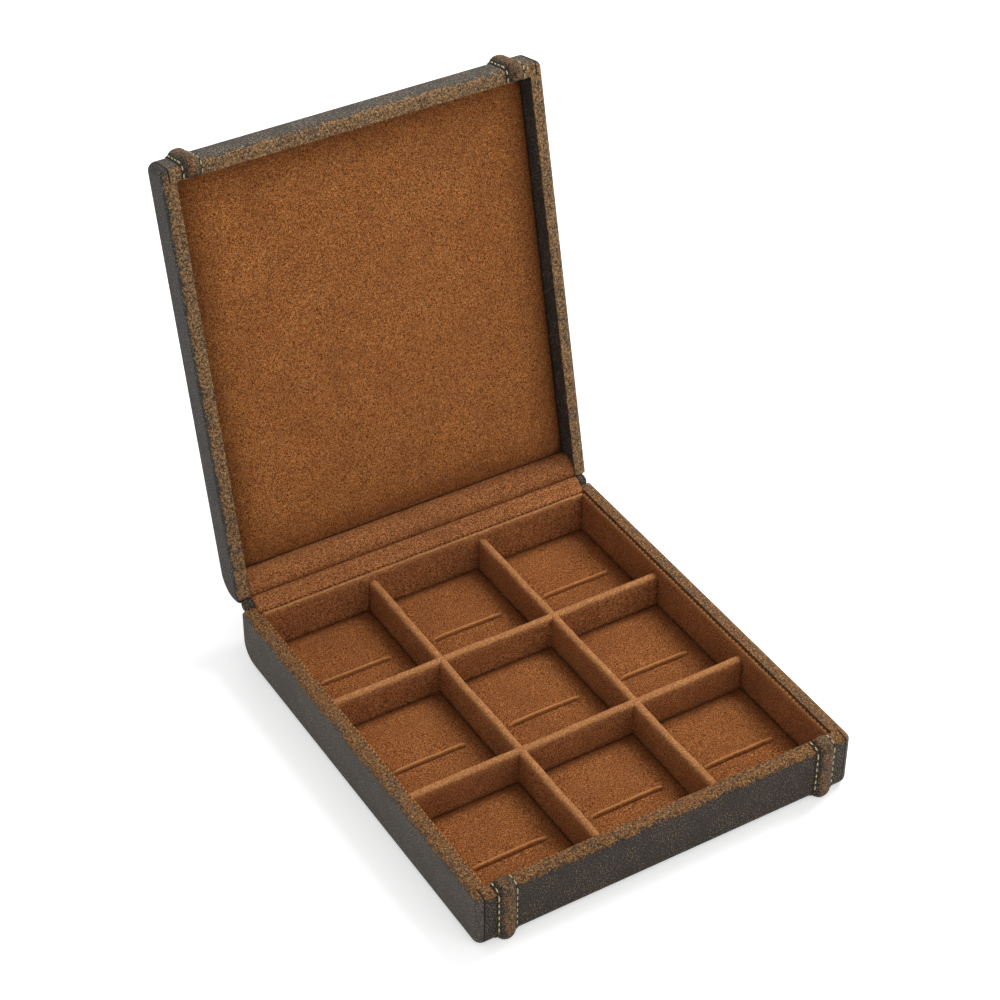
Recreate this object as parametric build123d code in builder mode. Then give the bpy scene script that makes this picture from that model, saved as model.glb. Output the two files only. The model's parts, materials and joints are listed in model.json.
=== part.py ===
"""Leather cufflink case: a flat box with nine cells and a hinged lid, shown standing open.

Millimetres, +Z up. The origin is the middle of the base's underside, on the surface that the case
stands on. The front is at -Y and the hinge is at the back, +Y.
"""
from build123d import *
import os
from math import cos, radians, sin

# Outside of the case
CASE_W = 150.0          # left to right
CASE_D = 168.0          # front to back
BASE_H = 22.5           # underside to the plane where base and lid meet
LID_H = 14.0            # that plane to the outside of the lid
RIM_GAP = 0.15          # each rim stops this short of the meeting plane
OPEN_ANGLE = 103.0      # lid angle, closed to its stop

# Rounded corners of the leather-covered shells
SIDE_R = 3.0
FRONT_R = 3.5
BASE_BACK_R = 9.0
LID_BACK_R = 10.0
RIM_R = 2.0
ON_PLANE = 0.01                     # an edge nearer than this lies on the rim's plane

# Layers
LEATHER = 1.0
BOARD = 3.2
WALL = 2 * LEATHER + BOARD          # leather outside, board, leather turned in
BASE_FLOOR = 2.0
LID_BOARD = 3.0
SIDE_SEAM = 2.5                     # side leather turns this far onto the front and back
SEAM_GAP = 0.2                      # open line between two pieces of leather

# Tray of nine cells
TRAY_CARD = 0.8
TRAY_WALL = 1.2
TRAY_WALL_R = 0.48                  # rounding of the tray walls' tops
TRAY_DROP = 0.95                    # tray wall top below the base rim
DIVIDER = 3.2
DIVIDER_R = 1.44                    # rounding of the dividers' tops
DIVIDER_DROP = 4.05                 # divider top below the base rim
DIVIDER_X = 23.6                    # middle of each front-to-back divider from the centre
DIVIDER_Y = 27.0                    # middle of each cross divider from the centre
LAP_PLAY = 0.1

# Slotted pads, one in each cell
PAD_PLAY = 0.3
PAD_CORNER = 3.0
PAD_CROWN = ((0.0, 1.0), (0.4, 0.0), (1.0, 2.0), (1.7, 5.0), (2.3, 10.0), (2.7, 17.0), (2.8, 26.0))
SLIT_LENGTH = 28.0
SLIT_WIDTH = 0.6
SLIT_DEPTH = 1.7
SLIT_Y = -5.5                       # slit from the middle of its cell, towards the front
LIP_R = 0.75
LIP_LENGTH = 29.0
LIP_BACK = 0.6                      # middle of the rolled lip behind the slit's rear edge
LIP_SINK = 0.15                     # middle of the rolled lip below the crown

# Straps over the front edge
STRAP_X = 63.6
STRAP_W = 7.8
STRAP_BULGE_W = 6.2
STRAP_BULGE_H = 2.3
STRAP_FLANGE = 0.45
STRAP_SINK = 0.5                    # how deep the strap is let into the rim and the underside
STRAP_TUCK = 4.8                    # length of strap on the rim and under the base
LID_STRAP_END = 3.15                # the lid's straps stop this far from the meeting plane at the back
STITCH_ROW = 3.5                    # row of stitches from the middle of the strap
STITCH_PITCH = 2.4
STITCH_SIZE = (0.55, 1.6, 0.4)
STITCH_INSET = 1.5                  # the first stitch past the tuck

# Concealed hinge
PIN_R = 0.6
PIN_PLAY = 0.05                     # the lid's knuckles turn on the pin
KNUCKLE_R = 1.5
BEAD_R = 2.4                        # leather and suede rolled round the knuckles
LID_RELIEF_R = 2.75
HINGE_W = 136.0
KNUCKLES = 7
KNUCKLE_PLAY = 0.3
LEAF = 0.5
LEAF_SHOULDER = 2.0                 # top of the base leaf's plate below the pin
BASE_LEAF_H = 11.0
BASE_SCREW_DROP = 6.6               # screws below the pin
LID_LEAF_H = 6.5
LID_LEAF_START = 0.6
LID_SCREW_RISE = 4.55               # screws above the pin, along the lid's back
SCREW_HEAD_R = 1.4
SCREW_SHANK_R = 0.7
SCREW_L = 3.2
SCREW_XS = (-58.3, -19.4, 19.4, 58.3)
BEAD_END = 3.7                      # solid leather end of the roll, past the suede
LINING = 1.0
LINING_DROP = 0.2                   # the suede starts this far below the tray's top
LINING_EASE = (0.9, 0.2)            # a point on its way to the roll: past the tray, below the rim
ROLL_LAP = 0.1                      # how far the suede laps onto the roll
ROLL_PLAY = 0.05                    # gap between the knuckles and the roll
SUEDE_ANGLE = 35.0                  # where the suede meets the leather on the roll
SUEDE_TO = 180.0                    # the suede ends on the side of the tray
SPINE_FROM = -90.0                  # the leather starts straight below the pin
WINDOW_FROM = 3.0                   # sector of the roll that the lid leaf sweeps
WINDOW_TO = 164.0
WINDOW_R = 3.0
SWEPT_FROM = -90.0                  # sector round the pin that the lid's knuckles turn in
SWEPT_TO = 200.0
SWEPT_PLAY = 0.15
AXIS_R = 0.2                        # smallest radius of a sector

# Lid inside
LID_BACK_IN = 9.5                   # inner face of the lid's back board from the hinge axis
LID_BACK_RIM = 2.4                  # the lid's back board stands back from the meeting plane
LID_BACK_BEVEL = 2.1                # slope at the inner edge of that board
LID_CARD = 1.5
LID_PAD_PLAY = 0.4
LID_PAD_CORNER = 3.0
LID_PAD_CROWN = ((0.0, 1.6), (0.9, 0.0), (1.9, 2.0), (2.5, 8.0), (2.9, 40.0))
LID_LINING_START = -1.9             # the lid's suede starts this far in front of the pin
LID_LINING_SWELL = ((-3.4, 1.5), (-6.0, 1.5), (-8.9, 2.9))
LID_LINING_END = 6.2                # and meets the pad this deep in the lid

# Worked-out places
BASE_RIM = BASE_H - RIM_GAP
LID_RIM = RIM_GAP
HINGE_Y = CASE_D / 2
IN_X = CASE_W / 2 - WALL            # inner face of the side leather
IN_Y = CASE_D / 2 - WALL
SEAM_X = CASE_W / 2 - SIDE_SEAM
FLOOR_Z = LEATHER + BASE_FLOOR
TRAY_Z = FLOOR_Z + TRAY_CARD
TRAY_TOP = BASE_RIM - TRAY_DROP
DIVIDER_TOP = BASE_RIM - DIVIDER_DROP
CELL_X = IN_X - TRAY_WALL           # cell faces next to the tray walls
CELL_Y = IN_Y - TRAY_WALL
BACK_BOARD_TOP = BASE_H - BEAD_R + ROLL_LAP
SPINE_TAIL = 4.0                    # the roll's leather runs this far down the back
LID_SKIN_END = LID_RELIEF_R - 0.4   # the lid's leather ends here at the back
LID_IN = LID_H - LEATHER - LID_BOARD
FAR = 300.0

BASE = Plane.XY
LID = Plane(
    origin=(0, HINGE_Y, BASE_H),
    x_dir=(1, 0, 0),
    z_dir=(0, sin(radians(OPEN_ANGLE)), cos(radians(OPEN_ANGLE))),
)

os.makedirs("parts", exist_ok=True)


def finish(piece, name):
    """Name a finished piece and write it."""
    piece.part.label = name
    export_step(piece.part, f"parts/{name}.step")


def side_plane(frame, x):
    """The plane across the case at x: its own x runs to the back, its own y out of the frame."""
    return Plane(origin=frame.from_local_coords((x, 0, 0)), x_dir=frame.y_dir, z_dir=frame.x_dir)


def level(frame, z):
    """The plane at height z of a frame."""
    return Plane(origin=frame.from_local_coords((0, 0, z)), x_dir=frame.x_dir, z_dir=frame.z_dir)


def block(x, y, z, mode=Mode.ADD, frame=BASE):
    """A block between pairs of coordinates of a frame."""
    middle = frame.from_local_coords(((x[0] + x[1]) / 2, (y[0] + y[1]) / 2, (z[0] + z[1]) / 2))
    with Locations(Location(Plane(origin=middle, x_dir=frame.x_dir, z_dir=frame.z_dir))):
        return Box(x[1] - x[0], y[1] - y[0], z[1] - z[0], mode=mode)


def shell_form(frame, ys, rim, outer, back_r, inset):
    """The rounded block that a shell fills, drawn in by inset on every side."""
    sign = 1 if rim > outer else -1
    y0, y1 = ys[0] + inset, ys[1] - inset
    z0, z1 = outer + sign * inset, rim - sign * inset
    with BuildPart() as form:
        with BuildSketch(side_plane(frame, -CASE_W / 2 + inset)):
            with BuildLine():
                Polyline((y0, z1), (y0, z0), (y1, z0), (y1, z1), close=True)
            make_face()
            corners = vertices().group_by(Axis.Y)[0 if sign > 0 else -1].sort_by(Axis.X)
            fillet(corners[0], FRONT_R - inset)
            fillet(vertices().group_by(Axis.Y)[0 if sign > 0 else -1].sort_by(Axis.X)[-1], back_r - inset)
        extrude(amount=CASE_W - 2 * inset)
        ends = form.faces().filter_by(Axis.X)
        side_edges = [
            edge
            for edge in ends.edges()
            if abs(frame.to_local_coords(edge.center()).Z - z1) > ON_PLANE
        ]
        fillet(side_edges, SIDE_R - inset)
        rim_edges = [
            edge
            for edge in form.edges()
            if abs(frame.to_local_coords(edge.center()).Z - z1) < ON_PLANE
        ]
        fillet(rim_edges, RIM_R - inset)
    return form.part


def axis_rod(radius, half_width, mode=Mode.ADD, middle=0.0):
    """A rod on the hinge axis."""
    with BuildSketch(Plane(origin=(middle - half_width, HINGE_Y, BASE_H), x_dir=(0, 1, 0), z_dir=(1, 0, 0)),
                     mode=Mode.PRIVATE) as disc:
        Circle(radius)
    return extrude(disc.sketch, amount=2 * half_width, mode=mode)


def sector(x0, x1, start, end, inner, outer, mode=Mode.ADD):
    """Part of a ring round the hinge axis; angles run from the back, upwards."""
    points = [start + (end - start) * i / 2 for i in range(3)]
    outside = [(outer * cos(radians(a)), outer * sin(radians(a))) for a in points]
    inside = [(inner * cos(radians(a)), inner * sin(radians(a))) for a in points]
    plane = Plane(origin=(x0, HINGE_Y, BASE_H), x_dir=(0, 1, 0), z_dir=(1, 0, 0))
    with BuildSketch(plane, mode=Mode.PRIVATE) as slice_:
        with BuildLine():
            ThreePointArc(*outside)
            Line(outside[2], inside[2])
            ThreePointArc(*inside[::-1])
            Line(inside[0], outside[0])
        make_face()
    return extrude(slice_.sketch, amount=x1 - x0, mode=mode)


def knuckle_span(index):
    """Start and end of a knuckle along the hinge."""
    pitch = HINGE_W / KNUCKLES
    start = -HINGE_W / 2 + pitch * index
    return start + KNUCKLE_PLAY / 2, start + pitch - KNUCKLE_PLAY / 2


def cut_windows():
    """Openings in the roll where the lid leaf passes through it."""
    for index in range(1, KNUCKLES, 2):
        start, end = knuckle_span(index)
        sector(start - KNUCKLE_PLAY, end + KNUCKLE_PLAY, WINDOW_FROM, WINDOW_TO, AXIS_R, WINDOW_R,
               mode=Mode.SUBTRACT)
        sector(start - KNUCKLE_PLAY, end + KNUCKLE_PLAY, SWEPT_FROM, SWEPT_TO, AXIS_R,
               KNUCKLE_R + SWEPT_PLAY, mode=Mode.SUBTRACT)


# --------------------------------------------------------------------------- shell forms
BASE_YS = (-CASE_D / 2, CASE_D / 2)
LID_YS = (-CASE_D, 0.0)
base_form = shell_form(BASE, BASE_YS, BASE_RIM, 0.0, BASE_BACK_R, 0.0)
base_core = shell_form(BASE, BASE_YS, BASE_RIM, 0.0, BASE_BACK_R, LEATHER)
lid_form = shell_form(LID, LID_YS, LID_RIM, LID_H, LID_BACK_R, 0.0)
lid_core = shell_form(LID, LID_YS, LID_RIM, LID_H, LID_BACK_R, LEATHER)


# --------------------------------------------------------------------------- straps
def strap_path(frame, points, radii, x):
    """The line of a strap over the leather."""
    with BuildLine(side_plane(frame, x)) as line:
        FilletPolyline(*points, radius=radii)
    return line.wires()[0]


def strap_section(path, x_dir):
    """Half-round welt between two stitched flanges, standing on the start of a path."""
    with BuildSketch(Plane(origin=path @ 0, x_dir=x_dir, z_dir=path % 0)) as section:
        with Locations((0, (STRAP_FLANGE - STRAP_SINK) / 2)):
            Rectangle(STRAP_W, STRAP_FLANGE + STRAP_SINK)
        with BuildLine():
            ThreePointArc((-STRAP_BULGE_W / 2, 0), (0, STRAP_BULGE_H), (STRAP_BULGE_W / 2, 0))
            Line((STRAP_BULGE_W / 2, 0), (-STRAP_BULGE_W / 2, 0))
        make_face()
    return section.sketch


def stitches(path, x_dir, start, end):
    """Two rows of thread along a strap, in the open BuildPart."""
    length = path.length
    count = int((end - start) / STITCH_PITCH)
    places = []
    for i in range(count):
        t = (start + STITCH_PITCH * (i + 0.5)) / length
        spot = Plane(origin=path @ t, x_dir=x_dir, z_dir=path % t)
        for row in (-STITCH_ROW, STITCH_ROW):
            lift = STRAP_FLANGE + STITCH_SIZE[2] / 2
            places.append(Plane(origin=spot.from_local_coords((row, lift, 0)),
                                x_dir=spot.x_dir, z_dir=spot.z_dir))
    with Locations(*[Location(place) for place in places]):
        Box(STITCH_SIZE[0], STITCH_SIZE[2], STITCH_SIZE[1])


def base_notches(x):
    """Shallow beds for a strap in the rim and the underside of the base."""
    span = (x - STRAP_W / 2, x + STRAP_W / 2)
    front = (-CASE_D / 2 - 1, -CASE_D / 2 + STRAP_TUCK)
    block(span, front, (BASE_RIM - STRAP_SINK, BASE_RIM + 1), mode=Mode.SUBTRACT)
    block(span, front, (-1, STRAP_SINK), mode=Mode.SUBTRACT)


def lid_notches(x):
    """A shallow bed for a strap in the rim of the lid."""
    span = (x - STRAP_W / 2, x + STRAP_W / 2)
    front = (-CASE_D - 1, -CASE_D + STRAP_TUCK)
    block(span, front, (LID_RIM - 1, LID_RIM + STRAP_SINK), mode=Mode.SUBTRACT, frame=LID)


BASE_STRAP = (
    (-CASE_D / 2 + STRAP_TUCK, BASE_RIM),
    (-CASE_D / 2, BASE_RIM),
    (-CASE_D / 2, 0.0),
    (-CASE_D / 2 + STRAP_TUCK, 0.0),
)
LID_STRAP = (
    (-CASE_D + STRAP_TUCK, LID_RIM),
    (-CASE_D, LID_RIM),
    (-CASE_D, LID_H),
    (0.0, LID_H),
    (0.0, LID_STRAP_END),
)

with BuildPart() as base_bed:
    add(base_form)
    for x in (-STRAP_X, STRAP_X):
        base_notches(x)

with BuildPart() as lid_bed:
    add(lid_form)
    for x in (-STRAP_X, STRAP_X):
        lid_notches(x)

base_stitch_places = []
for side, x in (("left", -STRAP_X), ("right", STRAP_X)):
    path = strap_path(BASE, BASE_STRAP, [RIM_R, FRONT_R], x)
    base_stitch_places.append(path)
    with BuildPart() as base_strap:
        sweep(strap_section(path, (1, 0, 0)), path=path)
        block((-FAR, FAR), (-FAR, FAR), (0, BASE_RIM), mode=Mode.INTERSECT)
        add(base_bed.part, mode=Mode.SUBTRACT)
    finish(base_strap, f"base_{side}_strap")

with BuildPart() as base_stitches:
    for path in base_stitch_places:
        stitches(path, (1, 0, 0), STRAP_TUCK + STITCH_INSET, path.length - STRAP_TUCK - 2 * STITCH_INSET)
finish(base_stitches, "base_stitches")

lid_stitch_places = []
for side, x in (("left", -STRAP_X), ("right", STRAP_X)):
    path = strap_path(LID, LID_STRAP, [RIM_R, FRONT_R, LID_BACK_R], x)
    lid_stitch_places.append(path)
    with BuildPart() as lid_strap:
        sweep(strap_section(path, (-1, 0, 0)), path=path)
        block((-FAR, FAR), (-FAR, FAR), (LID_RIM, FAR), mode=Mode.INTERSECT, frame=LID)
        add(lid_bed.part, mode=Mode.SUBTRACT)
    finish(lid_strap, f"lid_{side}_strap")

with BuildPart() as lid_stitches:
    for path in lid_stitch_places:
        stitches(path, (-1, 0, 0), STRAP_TUCK + STITCH_INSET, path.length - STITCH_INSET)
finish(lid_stitches, "lid_stitches")

# --------------------------------------------------------------------------- base boards
BOARD_X = CASE_W / 2 - LEATHER      # outer face of the side boards
BOARD_Y = CASE_D / 2 - LEATHER
HOLD_X = BOARD_X - BOARD            # inner face of the side boards
HOLD_Y = BOARD_Y - BOARD
BASE_BOARDS = {
    "base_floor_board": ((-BOARD_X, BOARD_X), (-BOARD_Y, BOARD_Y), (LEATHER, FLOOR_Z)),
    "base_left_board": ((-BOARD_X, -HOLD_X), (-BOARD_Y, BOARD_Y), (FLOOR_Z, BASE_RIM)),
    "base_right_board": ((HOLD_X, BOARD_X), (-BOARD_Y, BOARD_Y), (FLOOR_Z, BASE_RIM)),
    "base_front_board": ((-HOLD_X, HOLD_X), (-BOARD_Y, -HOLD_Y), (FLOOR_Z, BASE_RIM)),
    "base_back_board": ((-HOLD_X, HOLD_X), (IN_Y, BOARD_Y), (FLOOR_Z, BACK_BOARD_TOP)),
}


def base_screw_holes(radius, depth, mode=Mode.SUBTRACT):
    """Round holes, or screws, through the back of the base."""
    z = BASE_H - BASE_SCREW_DROP
    for x in SCREW_XS:
        with BuildSketch(Plane(origin=(x, BOARD_Y, z), x_dir=(1, 0, 0), z_dir=(0, -1, 0)),
                         mode=Mode.PRIVATE) as disc:
            Circle(radius)
        extrude(disc.sketch, amount=depth, mode=mode)


for name, (x, y, z) in BASE_BOARDS.items():
    with BuildPart() as board:
        add(base_core)
        block(x, y, z, mode=Mode.INTERSECT)
        axis_rod(BEAD_R, FAR, mode=Mode.SUBTRACT)
        if name == "base_back_board":
            block((-HINGE_W / 2, HINGE_W / 2), (BOARD_Y - LEAF, FAR), (BASE_H - BASE_LEAF_H, FAR),
                  mode=Mode.SUBTRACT)
            base_screw_holes(SCREW_SHANK_R, SCREW_L)
    finish(board, name)

# --------------------------------------------------------------------------- base leather
with BuildPart() as base_boards:
    add(base_core)
    block((-HOLD_X, HOLD_X), (-HOLD_Y, IN_Y), (FLOOR_Z, FAR), mode=Mode.SUBTRACT)

with BuildPart() as base_leather:
    add(base_bed.part)
    add(base_boards.part, mode=Mode.SUBTRACT)
    block((-IN_X, IN_X), (-IN_Y, IN_Y), (FLOOR_Z, FAR), mode=Mode.SUBTRACT)
    axis_rod(BEAD_R, FAR, mode=Mode.SUBTRACT)

FRONT_ZONE = ((-SEAM_X, SEAM_X), (-FAR, -IN_Y), (-FAR, FAR))
PIECE_X = SEAM_X - SEAM_GAP         # the front and back pieces end here
TAIL_Z = BACK_BOARD_TOP - SPINE_TAIL
BACK_ZONE = ((-SEAM_X, SEAM_X), (IN_Y, FAR), (-FAR, TAIL_Z))
SPINE_ZONE = ((-SEAM_X, SEAM_X), (BOARD_Y, FAR), (-FAR, FAR))

with BuildPart() as base_front_leather:
    add(base_leather.part)
    block((-PIECE_X, PIECE_X), *FRONT_ZONE[1:], mode=Mode.INTERSECT)
finish(base_front_leather, "base_front_leather")

with BuildPart() as base_back_leather:
    add(base_leather.part)
    block((-PIECE_X, PIECE_X), *BACK_ZONE[1:], mode=Mode.INTERSECT)
finish(base_back_leather, "base_back_leather")

for side, span in (("left", (-FAR, -IN_X)), ("right", (IN_X, FAR))):
    with BuildPart() as base_side_leather:
        add(base_leather.part)
        block(span, (-FAR, FAR), (-FAR, FAR), mode=Mode.INTERSECT)
        block(*FRONT_ZONE, mode=Mode.SUBTRACT)
        block(*BACK_ZONE, mode=Mode.SUBTRACT)
        block(*SPINE_ZONE, mode=Mode.SUBTRACT)
    finish(base_side_leather, f"base_{side}_leather")

with BuildPart() as base_bottom_panel:
    add(base_leather.part)
    block((-IN_X, IN_X), (-IN_Y, IN_Y), (-FAR, FLOOR_Z), mode=Mode.INTERSECT)
finish(base_bottom_panel, "base_bottom_panel")

# --------------------------------------------------------------------------- tray
with BuildPart() as tray_floor:
    block((-IN_X, IN_X), (-IN_Y, IN_Y), (FLOOR_Z, TRAY_Z))
finish(tray_floor, "tray_floor_card")

TRAY_WALLS = {
    "tray_left_wall": ((-IN_X, -CELL_X), (-IN_Y, IN_Y)),
    "tray_right_wall": ((CELL_X, IN_X), (-IN_Y, IN_Y)),
    "tray_front_wall": ((-CELL_X, CELL_X), (-IN_Y, -CELL_Y)),
    "tray_back_wall": ((-CELL_X, CELL_X), (CELL_Y, IN_Y)),
}
for name, (x, y) in TRAY_WALLS.items():
    with BuildPart() as tray_wall:
        block(x, y, (TRAY_Z, TRAY_TOP))
        long_axis = Axis.Y if "left" in name or "right" in name else Axis.X
        top_edges = tray_wall.edges().filter_by(long_axis).group_by(Axis.Z)[-1]
        fillet(top_edges, TRAY_WALL_R)
    finish(tray_wall, name)

LAP_Z = (TRAY_Z + DIVIDER_TOP) / 2
for name, x in (("divider_left", -DIVIDER_X), ("divider_right", DIVIDER_X)):
    with BuildPart() as divider:
        block((x - DIVIDER / 2, x + DIVIDER / 2), (-CELL_Y, CELL_Y), (TRAY_Z, DIVIDER_TOP))
        fillet(divider.edges().filter_by(Axis.Y).group_by(Axis.Z)[-1], DIVIDER_R)
        for y in (-DIVIDER_Y, DIVIDER_Y):
            block((x - DIVIDER, x + DIVIDER), (y - DIVIDER / 2, y + DIVIDER / 2), (LAP_Z, FAR),
                  mode=Mode.SUBTRACT)
    finish(divider, name)

for name, y in (("cross_divider_front", -DIVIDER_Y), ("cross_divider_back", DIVIDER_Y)):
    with BuildPart() as divider:
        block((-CELL_X, CELL_X), (y - DIVIDER / 2, y + DIVIDER / 2), (TRAY_Z, DIVIDER_TOP))
        fillet(divider.edges().filter_by(Axis.X).group_by(Axis.Z)[-1], DIVIDER_R)
        for x in (-DIVIDER_X, DIVIDER_X):
            block((x - DIVIDER / 2 - LAP_PLAY, x + DIVIDER / 2 + LAP_PLAY), (y - DIVIDER, y + DIVIDER),
                  (0, LAP_Z + LAP_PLAY), mode=Mode.SUBTRACT)
    finish(divider, name)

# --------------------------------------------------------------------------- slotted pads
COLUMNS = {
    "left": (-CELL_X, -DIVIDER_X - DIVIDER / 2),
    "middle": (-DIVIDER_X + DIVIDER / 2, DIVIDER_X - DIVIDER / 2),
    "right": (DIVIDER_X + DIVIDER / 2, CELL_X),
}
ROWS = {
    "front": (-CELL_Y, -DIVIDER_Y - DIVIDER / 2),
    "centre": (-DIVIDER_Y + DIVIDER / 2, DIVIDER_Y - DIVIDER / 2),
    "back": (DIVIDER_Y + DIVIDER / 2, CELL_Y),
}


def crowned_pad(frame, middle, size, base_z, crown, corner, rise):
    """A stuffed pad: full a little above its bed, then rounding over to a crown."""
    outlines = []
    for height, narrower in crown:
        with BuildSketch(level(frame, base_z + rise * height)) as outline:
            with Locations(middle):
                RectangleRounded(size[0] - narrower, size[1] - narrower, corner)
        outlines.append(outline.sketch)
    loft(outlines, ruled=True)


for row, (y0, y1) in ROWS.items():
    for column, (x0, x1) in COLUMNS.items():
        middle = ((x0 + x1) / 2, (y0 + y1) / 2)
        size = (x1 - x0 - 2 * PAD_PLAY, y1 - y0 - 2 * PAD_PLAY)
        crown_z = TRAY_Z + PAD_CROWN[-1][0]
        slit_y = middle[1] + SLIT_Y
        lip_end = (middle[0] - LIP_LENGTH / 2, slit_y + SLIT_WIDTH / 2 + LIP_BACK, crown_z - LIP_SINK)
        with BuildPart() as slot_pad:
            crowned_pad(BASE, middle, size, TRAY_Z, PAD_CROWN, PAD_CORNER, 1)
            with BuildSketch(Plane(origin=lip_end, x_dir=(0, 1, 0), z_dir=(1, 0, 0))):
                Circle(LIP_R)
            extrude(amount=LIP_LENGTH)
            block((middle[0] - SLIT_LENGTH / 2, middle[0] + SLIT_LENGTH / 2),
                  (slit_y - SLIT_WIDTH / 2, slit_y + SLIT_WIDTH / 2),
                  (crown_z - SLIT_DEPTH, FAR), mode=Mode.SUBTRACT)
        finish(slot_pad, f"slot_pad_{row}_{column}")

# --------------------------------------------------------------------------- lid boards
with BuildPart() as lid_relief:
    axis_rod(LID_RELIEF_R, FAR)

LID_BOARDS = {
    "lid_top_board": ((-BOARD_X, BOARD_X), (-FAR, FAR), (LID_IN, LID_H)),
    "lid_left_board": ((-BOARD_X, -HOLD_X), (-FAR, FAR), (LID_RIM, LID_IN)),
    "lid_right_board": ((HOLD_X, BOARD_X), (-FAR, FAR), (LID_RIM, LID_IN)),
    "lid_front_board": ((-HOLD_X, HOLD_X), (-FAR, -CASE_D + LEATHER + BOARD), (LID_RIM, LID_IN)),
    "lid_back_board": ((-HOLD_X, HOLD_X), (-LID_BACK_IN, FAR), (LID_BACK_RIM, LID_IN)),
}
LEAF_OUT = -LEATHER                 # outer face of the lid leaf, in the lid's own frame
LID_LEAF_BED = ((-HINGE_W / 2, HINGE_W / 2), (LEAF_OUT - LEAF, LEAF_OUT), (-FAR, LID_LEAF_H))


def lid_screw_holes(radius, depth, mode=Mode.SUBTRACT):
    """Round holes, or screws, through the back of the lid."""
    for x in SCREW_XS:
        middle = LID.from_local_coords((x, LEAF_OUT, LID_SCREW_RISE))
        with BuildSketch(Plane(origin=middle, x_dir=(1, 0, 0), z_dir=-LID.y_dir),
                         mode=Mode.PRIVATE) as disc:
            Circle(radius)
        extrude(disc.sketch, amount=depth, mode=mode)


for name, (x, y, z) in LID_BOARDS.items():
    with BuildPart() as board:
        add(lid_core)
        block(x, y, z, mode=Mode.INTERSECT, frame=LID)
        add(lid_relief.part, mode=Mode.SUBTRACT)
        if name == "lid_back_board":
            inner_edge = LID.from_local_coords((0, -LID_BACK_IN, LID_BACK_RIM))
            chamfer(board.edges().filter_by(Axis.X).sort_by_distance(inner_edge)[0], LID_BACK_BEVEL)
            block((-HINGE_W / 2, HINGE_W / 2), (LEAF_OUT - LEAF, FAR), (-FAR, LID_LEAF_H),
                  mode=Mode.SUBTRACT, frame=LID)
            lid_screw_holes(SCREW_SHANK_R, SCREW_L)
    finish(board, name)

# --------------------------------------------------------------------------- lid leather
with BuildPart() as lid_boards:
    add(lid_core)
    block((-HOLD_X, HOLD_X), (-CASE_D + LEATHER + BOARD, -LID_BACK_IN), (-FAR, LID_IN),
          mode=Mode.SUBTRACT, frame=LID)

with BuildPart() as lid_leather:
    add(lid_bed.part)
    add(lid_boards.part, mode=Mode.SUBTRACT)
    block((-IN_X, IN_X), (-CASE_D + WALL, FAR), (-FAR, LID_IN), mode=Mode.SUBTRACT, frame=LID)
    add(lid_relief.part, mode=Mode.SUBTRACT)

with BuildPart() as lid_outside:
    add(lid_form)
    add(lid_core, mode=Mode.SUBTRACT)
    block((-SEAM_X, SEAM_X), (-CASE_D + WALL, FAR), (LID_SKIN_END, FAR),
          mode=Mode.INTERSECT, frame=LID)
    add(lid_relief.part, mode=Mode.SUBTRACT)
    block(*LID_LEAF_BED, mode=Mode.SUBTRACT, frame=LID)
finish(lid_outside, "lid_top_leather")

LID_FRONT_ZONE = ((-SEAM_X, SEAM_X), (-FAR, -CASE_D + WALL), (-FAR, FAR))
with BuildPart() as lid_front_leather:
    add(lid_leather.part)
    block((-PIECE_X, PIECE_X), *LID_FRONT_ZONE[1:], mode=Mode.INTERSECT, frame=LID)
finish(lid_front_leather, "lid_front_leather")

for side, span in (("left", (-FAR, -IN_X)), ("right", (IN_X, FAR))):
    with BuildPart() as lid_side_leather:
        add(lid_leather.part)
        block(span, (-FAR, FAR), (-FAR, FAR), mode=Mode.INTERSECT, frame=LID)
        block(*LID_FRONT_ZONE, mode=Mode.SUBTRACT, frame=LID)
        add(lid_outside.part, mode=Mode.SUBTRACT)
    finish(lid_side_leather, f"lid_{side}_leather")

# --------------------------------------------------------------------------- lid lining
LID_PAD_Y = (-CASE_D + WALL, -LID_BACK_IN - LINING)
with BuildPart() as lid_card:
    block((-IN_X, IN_X), (-CASE_D + WALL, -LID_BACK_IN), (LID_IN - LID_CARD, LID_IN), frame=LID)
finish(lid_card, "lid_pad_card")

with BuildPart() as lid_pad:
    crowned_pad(
        LID,
        (0, (LID_PAD_Y[0] + LID_PAD_Y[1]) / 2),
        (2 * IN_X - 2 * LID_PAD_PLAY, LID_PAD_Y[1] - LID_PAD_Y[0] - 2 * LID_PAD_PLAY),
        LID_IN - LID_CARD,
        LID_PAD_CROWN,
        LID_PAD_CORNER,
        -1,
    )
finish(lid_pad, "lid_pad")

LINING_START = (LID_LINING_START, LID_BACK_RIM)
LINING_END = (-LID_BACK_IN - LINING, LID_LINING_END)
with BuildPart() as lid_lining:
    with BuildSketch(side_plane(LID, -IN_X)):
        with BuildLine():
            Spline(LINING_START, *LID_LINING_SWELL, LINING_END)
            Polyline(LINING_END, (-LID_BACK_IN - LINING, LID_IN - LID_CARD),
                     (-LID_BACK_IN, LID_IN - LID_CARD), (-LID_BACK_IN, LID_BACK_RIM + LID_BACK_BEVEL),
                     (-LID_BACK_IN + LID_BACK_BEVEL, LID_BACK_RIM), LINING_START)
        make_face()
    extrude(amount=2 * IN_X)
finish(lid_lining, "lid_hinge_lining")

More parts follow.
